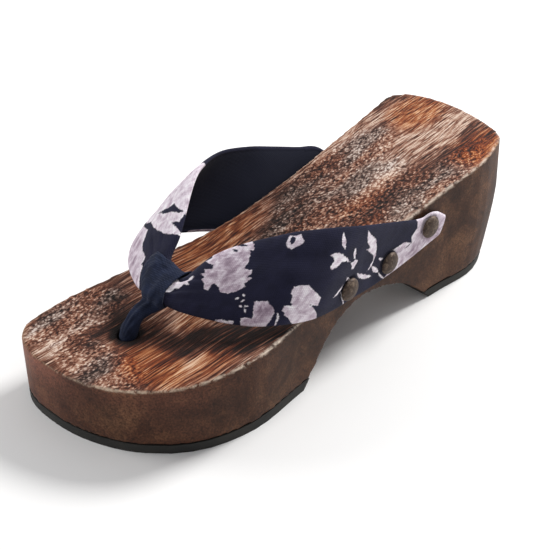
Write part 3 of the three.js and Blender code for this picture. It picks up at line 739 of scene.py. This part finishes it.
def make_arms():
    stations, along = arm_stations()
    rows, across_steps = len(stations), OUTER_STEPS + LINING_STEPS
    bpy.ops.object.select_all(action="DESELECT")
    bpy.ops.mesh.primitive_grid_add(
        x_subdivisions=rows - 1, y_subdivisions=across_steps, size=2, calc_uvs=True
    )
    arms = bpy.context.object
    arms.name = "padded_arms"
    grid = np.empty(len(arms.data.vertices) * 3, np.float32)
    arms.data.vertices.foreach_get("co", grid)
    grid = grid.reshape(-1, 3)
    i = np.rint((grid[:, 0] + 1) / 2 * (rows - 1)).astype(int)
    j = np.rint((grid[:, 1] + 1) / 2 * across_steps).astype(int)

    row, middle, upper, lower = arm_frame(stations)
    across = unit(lower - upper)
    half = np.linalg.norm(lower - upper, axis=1) / 2
    ahead = arm_frame(np.minimum(stations + 0.002, 1))[1] - arm_frame(np.maximum(stations - 0.002, -1))[1]
    outward = unit(np.cross(across, unit(ahead)))

    # Round the section: the outer cloth from the upper edge, where q is -1, to the lower edge,
    # where q is 1, then the lining back.
    turn = j / OUTER_STEPS
    back = (j - OUTER_STEPS) / LINING_STEPS
    q = np.where(j <= OUTER_STEPS, -np.cos(np.pi * turn), np.cos(np.pi * back))
    q = np.where(j <= OUTER_STEPS, 0.55 * q + 0.45 * (2 * turn - 1), q)
    face = np.where(j <= OUTER_STEPS, 1.0, -1.0)
    end = np.minimum(along[i] - along[0], along[-1] - along[i])
    closing = np.sqrt(np.clip(1 - (1 - np.clip(end / 1.2, 0, 1)) ** 2, 0, 1))
    padding = row["thick"][i] / 2 * np.sqrt(np.clip(1 - q**8, 0, 1)) * (0.8 + 0.2 * (1 - q * q)) * closing
    lift = row["arching"][i] * (1 - q * q) + face * padding
    cloth = np.stack([along[i], q * half[i]], axis=1)

    # The outer cloth turns over both edges; the lining is set in just inside them.
    lining = ((face < 0) & (np.abs(cloth[:, 1]) < half[i] - 1.6)).astype(float)
    lift += 0.3 * lining * closing
    for x, y, rx, ry, depth, slant in CREASES:
        dx, dy = cloth[:, 0] - x, cloth[:, 1] - y - slant * (cloth[:, 0] - x)
        valley = np.exp(-((dx / rx) ** 2) - (dy / ry) ** 2)
        ridge = np.exp(-((dx / rx) ** 2) - (dy / ry - 2) ** 2)
        lift -= depth * (valley - 0.45 * ridge) * (face > 0)
    points = middle[i] + across[i] * cloth[:, 1:] + outward[i] * lift[:, None]
    slack = ripple(points, 16, 3.0) * 0.28 + ripple(points, 6, 9.0) * 0.08
    points += outward[i] * (slack * closing * (1 - np.abs(q) ** 4))[:, None]

    # The padding is pressed in round each tack, with faint puckers running out from it.
    for node_name in TACK_NODES:
        tip, crown = tack_seat(node_name)
        axis = unit(crown - tip)
        rel = points - crown
        high = rel @ axis
        away = np.linalg.norm(rel - high[:, None] * axis, axis=1)
        near = (face > 0) & (away < 14) & (np.abs(high) < 9)
        press = 0.55 * np.exp(-((away / 6.2) ** 4)) + 0.12 * np.exp(-((away / 9) ** 2))
        points -= axis * (press * near)[:, None]
        over = near & (away < 6.0) & (high > HEAD_UNDERSIDE)
        points -= axis * (np.where(over, high - HEAD_UNDERSIDE, 0))[:, None]
    place(arms, points)

    depth, tone = print_chart(cloth[:, 0], cloth[:, 1])
    depth = np.where((face > 0) | (lining < 0.5), depth, -9.0)
    depth = np.where((face < 0) & (np.abs(q) < 0.9), -9.0, depth)
    keep(arms, "print_depth", depth)
    keep(arms, "print_tone", tone)
    keep(arms, "lining", lining)

    uv = arms.data.uv_layers[0]
    uv.name = "cloth"
    loops = np.empty(len(arms.data.loops), np.int32)
    arms.data.loops.foreach_get("vertex_index", loops)
    round_it = np.where(face > 0, q * half[i], 2 * half[i] - q * half[i])
    flat = np.stack([along[i], round_it], axis=1)[loops].astype(np.float32)
    uv.data.foreach_set("uv", flat.ravel())

    only(arms)
    bpy.ops.object.mode_set(mode="EDIT")
    bpy.ops.mesh.select_all(action="SELECT")
    bpy.ops.mesh.remove_doubles(threshold=0.000002)
    bpy.ops.mesh.normals_make_consistent(inside=False)
    bpy.ops.object.mode_set(mode="OBJECT")
    finish(arms, printed_cotton(), "strap_arms")


# ---------------------------------------------------------------- the toe thong


def plain_cotton():
    """The thong's bias-cut cotton: a bluer navy with the threads on the slant."""
    material, tree, shader, mm = new_material("plain_navy_cotton")
    dye = add(tree, "ShaderNodeTexNoise", {"Vector": mm, "Scale": 0.2, "Detail": 5, "Roughness": 0.65})
    navy = add(tree, "ShaderNodeValToRGB", {0: dye}, stops=[(0.3, "#141a2c"), (0.7, "#212a44")])
    threads = []
    for turn in (0.6, -0.9):
        slanted = add(tree, "ShaderNodeVectorRotate", {"Vector": mm, "Angle": turn}, rotation_type="X_AXIS")
        threads.append(
            add(
                tree,
                "ShaderNodeTexWave",
                {"Vector": slanted, "Scale": THREAD_SCALE, "Distortion": 0.8, "Detail": 1.0},
                out="Fac",
                bands_direction="Z",
            )
        )
    weave = add(tree, "ShaderNodeMath", {0: threads[0], 1: threads[1]}, operation="MULTIPLY")
    hatch = add(tree, "ShaderNodeMapRange", {"Value": weave, "To Min": 0.84, "To Max": 1.12})
    woven = add(
        tree, "ShaderNodeMix", {0: 1.0, 6: navy, 7: hatch}, out=2, data_type="RGBA", blend_type="MULTIPLY"
    )
    tree.links.new(woven, shader.inputs["Base Color"])
    bump = add(tree, "ShaderNodeBump", {"Strength": 0.5, "Distance": 0.0003, "Height": weave})
    tree.links.new(bump, shader.inputs["Normal"])
    shader.inputs["Roughness"].default_value = 0.85
    shader.inputs["Specular IOR Level"].default_value = 0.2
    shader.inputs["Sheen Weight"].default_value = 0.05
    shader.inputs["Sheen Roughness"].default_value = 0.5
    return material


CORD_SWELL = 0.85  # how much the cord is fatter at the hole than above it, each way


def make_thong():
    thong = copy_of("toe_thong", "cotton_thong")
    apply(thong, "REMESH", mode="VOXEL", voxel_size=THONG_VOXEL * MM, use_smooth_shade=True)
    apply(thong, "SMOOTH", factor=0.5, iterations=5)
    # The wrap's lower edge runs into the cord without a step.
    points = points_of(thong)
    melt = (1 - ease(40.5, 43, points[:, 2])) * ease(30, 34, points[:, 2])
    eased = np.stack([spread_over(thong, column, 20) for column in points.T], axis=1)
    place(thong, points + (eased - points) * melt[:, None])
    points, normals = points_of(thong), normals_of(thong)
    # The cord's end swells to fill the hole.
    points += normals * (CORD_SWELL * (1 - ease(33, 38, points[:, 2])))[:, None]
    # Gathers: shallow folds that run down the cord and fan out over the loop.
    fan = np.arctan2(points[:, 0] + 3.0, points[:, 1] + 92.0 + 0.6 * (points[:, 2] - 30))
    folds = np.sin(fan * 34 + ripple(points, 9, 5.0) * 2.2)
    points += normals * (0.16 * folds * ease(30, 40, points[:, 2]) + 0.06 * folds)[:, None]
    place(thong, points)
    finish(thong, plain_cotton(), "toe_thong")


# ---------------------------------------------------------------- the tacks


def antiqued_metal():
    """Cast brass with a brown antique patina: dull and mottled."""
    material, tree, shader, mm = new_material("antiqued_brown_brass")
    patina = add(
        tree,
        "ShaderNodeTexNoise",
        {"Vector": mm, "Scale": 0.55, "Detail": 5, "Roughness": 0.7, "Distortion": 0.5},
    )
    colour = add(
        tree,
        "ShaderNodeValToRGB",
        {0: patina},
        stops=[(0.3, "#2b211b"), (0.52, "#4f4036"), (0.75, "#8b7968")],
    )
    tree.links.new(colour, shader.inputs["Base Color"])
    dents = add(tree, "ShaderNodeTexVoronoi", {"Vector": mm, "Scale": 0.8}, feature="SMOOTH_F1")
    bump = add(tree, "ShaderNodeBump", {"Strength": 0.4, "Distance": 0.0005, "Height": dents})
    tree.links.new(bump, shader.inputs["Normal"])
    rough = add(tree, "ShaderNodeMapRange", {"Value": patina, "To Min": 0.42, "To Max": 0.75})
    tree.links.new(rough, shader.inputs["Roughness"])
    shader.inputs["Metallic"].default_value = 0.5
    return material


def tack_at_origin():
    """One tack along +Z, its shank's tip at the origin: a pin, a flat seat and a domed head."""
    length, pin, head, height = 12.35, 1.0, 5.2, 2.8
    bevel, wall, lip = 0.25, 0.3, 0.94
    dome = height - (bevel + wall)
    sides, rings = 40, 8
    bpy.ops.object.select_all(action="DESELECT")
    bpy.ops.mesh.primitive_cylinder_add(
        vertices=sides, radius=pin, depth=length, end_fill_type="NGON", location=(0, 0, length / 2)
    )
    tack = bpy.context.object
    bpy.ops.object.transform_apply(location=True)
    bpy.ops.object.mode_set(mode="EDIT")
    bpy.ops.mesh.select_mode(type="FACE")

    def take_end(high):
        bpy.ops.mesh.select_all(action="DESELECT")
        bpy.ops.object.mode_set(mode="OBJECT")
        for face in tack.data.polygons:
            face.select = len(face.vertices) == sides and (face.normal.z > 0.5) == high
        bpy.ops.object.mode_set(mode="EDIT")

    def grow(rise, ratio):
        bpy.ops.mesh.extrude_region_move(TRANSFORM_OT_translate={"value": (0, 0, rise)})
        bpy.ops.transform.resize(value=(ratio, ratio, 1))

    take_end(False)
    bpy.ops.mesh.extrude_region_move(TRANSFORM_OT_translate={"value": (0, 0, 0)})
    bpy.ops.transform.resize(value=(0.12, 0.12, 1))
    bpy.ops.object.mode_set(mode="OBJECT")
    for vertex in tack.data.vertices:
        if vertex.co.z < 0.01 and vertex.co.xy.length > pin * 0.5:
            vertex.co.z = 2.5
    bpy.ops.object.mode_set(mode="EDIT")
    take_end(True)
    grow(0, head * lip / pin)
    grow(bevel, 1 / lip)
    grow(wall, 1.0)
    radius = head
    up = [math.sin(k / rings * math.pi / 2) for k in range(rings + 1)]
    for k in range(1, rings):
        wanted = head * math.cos(k / rings * math.pi / 2)
        grow(dome * (up[k] - up[k - 1]), wanted / radius)
        radius = wanted
    bpy.ops.mesh.poke(offset=dome * (1 - up[rings - 1]))
    bpy.ops.mesh.select_all(action="SELECT")
    bpy.ops.mesh.normals_make_consistent(inside=False)
    bpy.ops.object.mode_set(mode="OBJECT")
    return tack


def make_tacks():
    pattern = tack_at_origin()
    metal = antiqued_metal()
    for number, node_name in enumerate(TACK_NODES):
        tip, crown = tack_seat(node_name)
        tack = pattern.copy()
        tack.data = pattern.data.copy()
        tack.name = node_name.replace("_tack", "_brass_tack")
        bpy.context.scene.collection.objects.link(tack)
        turn = Vector((0, 0, 1)).rotation_difference(Vector(crown - tip)).to_matrix().to_4x4()
        spin = Matrix.Rotation(number * 1.1, 4, "Z")
        stand = Matrix.Translation(Vector((tip + DRAWING) * MM)) @ turn
        tack.data.transform(stand @ Matrix.Scale(MM, 4) @ spin)
        finish(tack, metal, node_name)
        only(tack)
        bpy.ops.object.shade_smooth_by_angle(angle=math.radians(40))
    bpy.data.objects.remove(pattern)


# ---------------------------------------------------------------- floor, light, camera


def area_light(name, position, target, size, power):
    """A round white soft box at a position, turned to a target; metres and watts."""
    light = bpy.data.lights.new(name, "AREA")
    light.shape = "DISK"
    light.size = size
    light.energy = power
    lamp = bpy.data.objects.new(name, light)
    lamp.location = position
    lamp.rotation_euler = (Vector(target) - Vector(position)).to_track_quat("-Z", "Y").to_euler()
    bpy.context.scene.collection.objects.link(lamp)


def set_stage():
    bpy.context.scene.view_settings.view_transform = "Standard"
    bpy.ops.object.select_all(action="DESELECT")
    bpy.ops.mesh.primitive_plane_add(size=12, location=(0, 0, 0))
    floor = bpy.context.object
    floor.name = "floor"
    paper = bpy.data.materials.new("pale_paper")
    paper.use_nodes = True
    tone = paper.node_tree.nodes["Principled BSDF"]
    tone.inputs["Base Color"].default_value = linear("#f4f3f1")
    tone.inputs["Roughness"].default_value = 0.9
    floor.data.materials.append(paper)

    world = bpy.data.worlds.new("soft_room")
    world.use_nodes = True
    world.node_tree.nodes["Background"].inputs["Color"].default_value = linear("#fafbff")
    world.node_tree.nodes["Background"].inputs["Strength"].default_value = 0.45
    bpy.context.scene.world = world
    area_light("key", (0.1, 0.85, 0.8), (0, 0, 0.03), 0.4, 15)
    area_light("left_fill", (-0.7, -0.5, 0.4), (0, 0, 0.02), 0.5, 4)


# The eye's place about the drawing's origin, what it looks at, and the camera's tilt and lens.
EYE = (395.9, -380.2, 374.4)
LOOK_AT = (2.0, -6.0, 27.0)
TILT = math.radians(-0.68)
LENS = 96


def set_camera():
    camera = bpy.data.objects.new("camera", bpy.data.cameras.new("camera"))
    bpy.context.scene.collection.objects.link(camera)
    camera.data.lens = LENS
    camera.data.sensor_width = 36
    eye = Vector((np.array(EYE) + DRAWING) * MM)
    target = Vector((np.array(LOOK_AT) + DRAWING) * MM)
    aim = (target - eye).to_track_quat("-Z", "Y")
    camera.matrix_world = Matrix.Translation(eye) @ aim.to_matrix().to_4x4() @ Matrix.Rotation(TILT, 4, "Z")
    bpy.context.scene.camera = camera


make_block()
make_outsoles()
make_arms()
make_thong()
make_tacks()
set_stage()
set_camera()
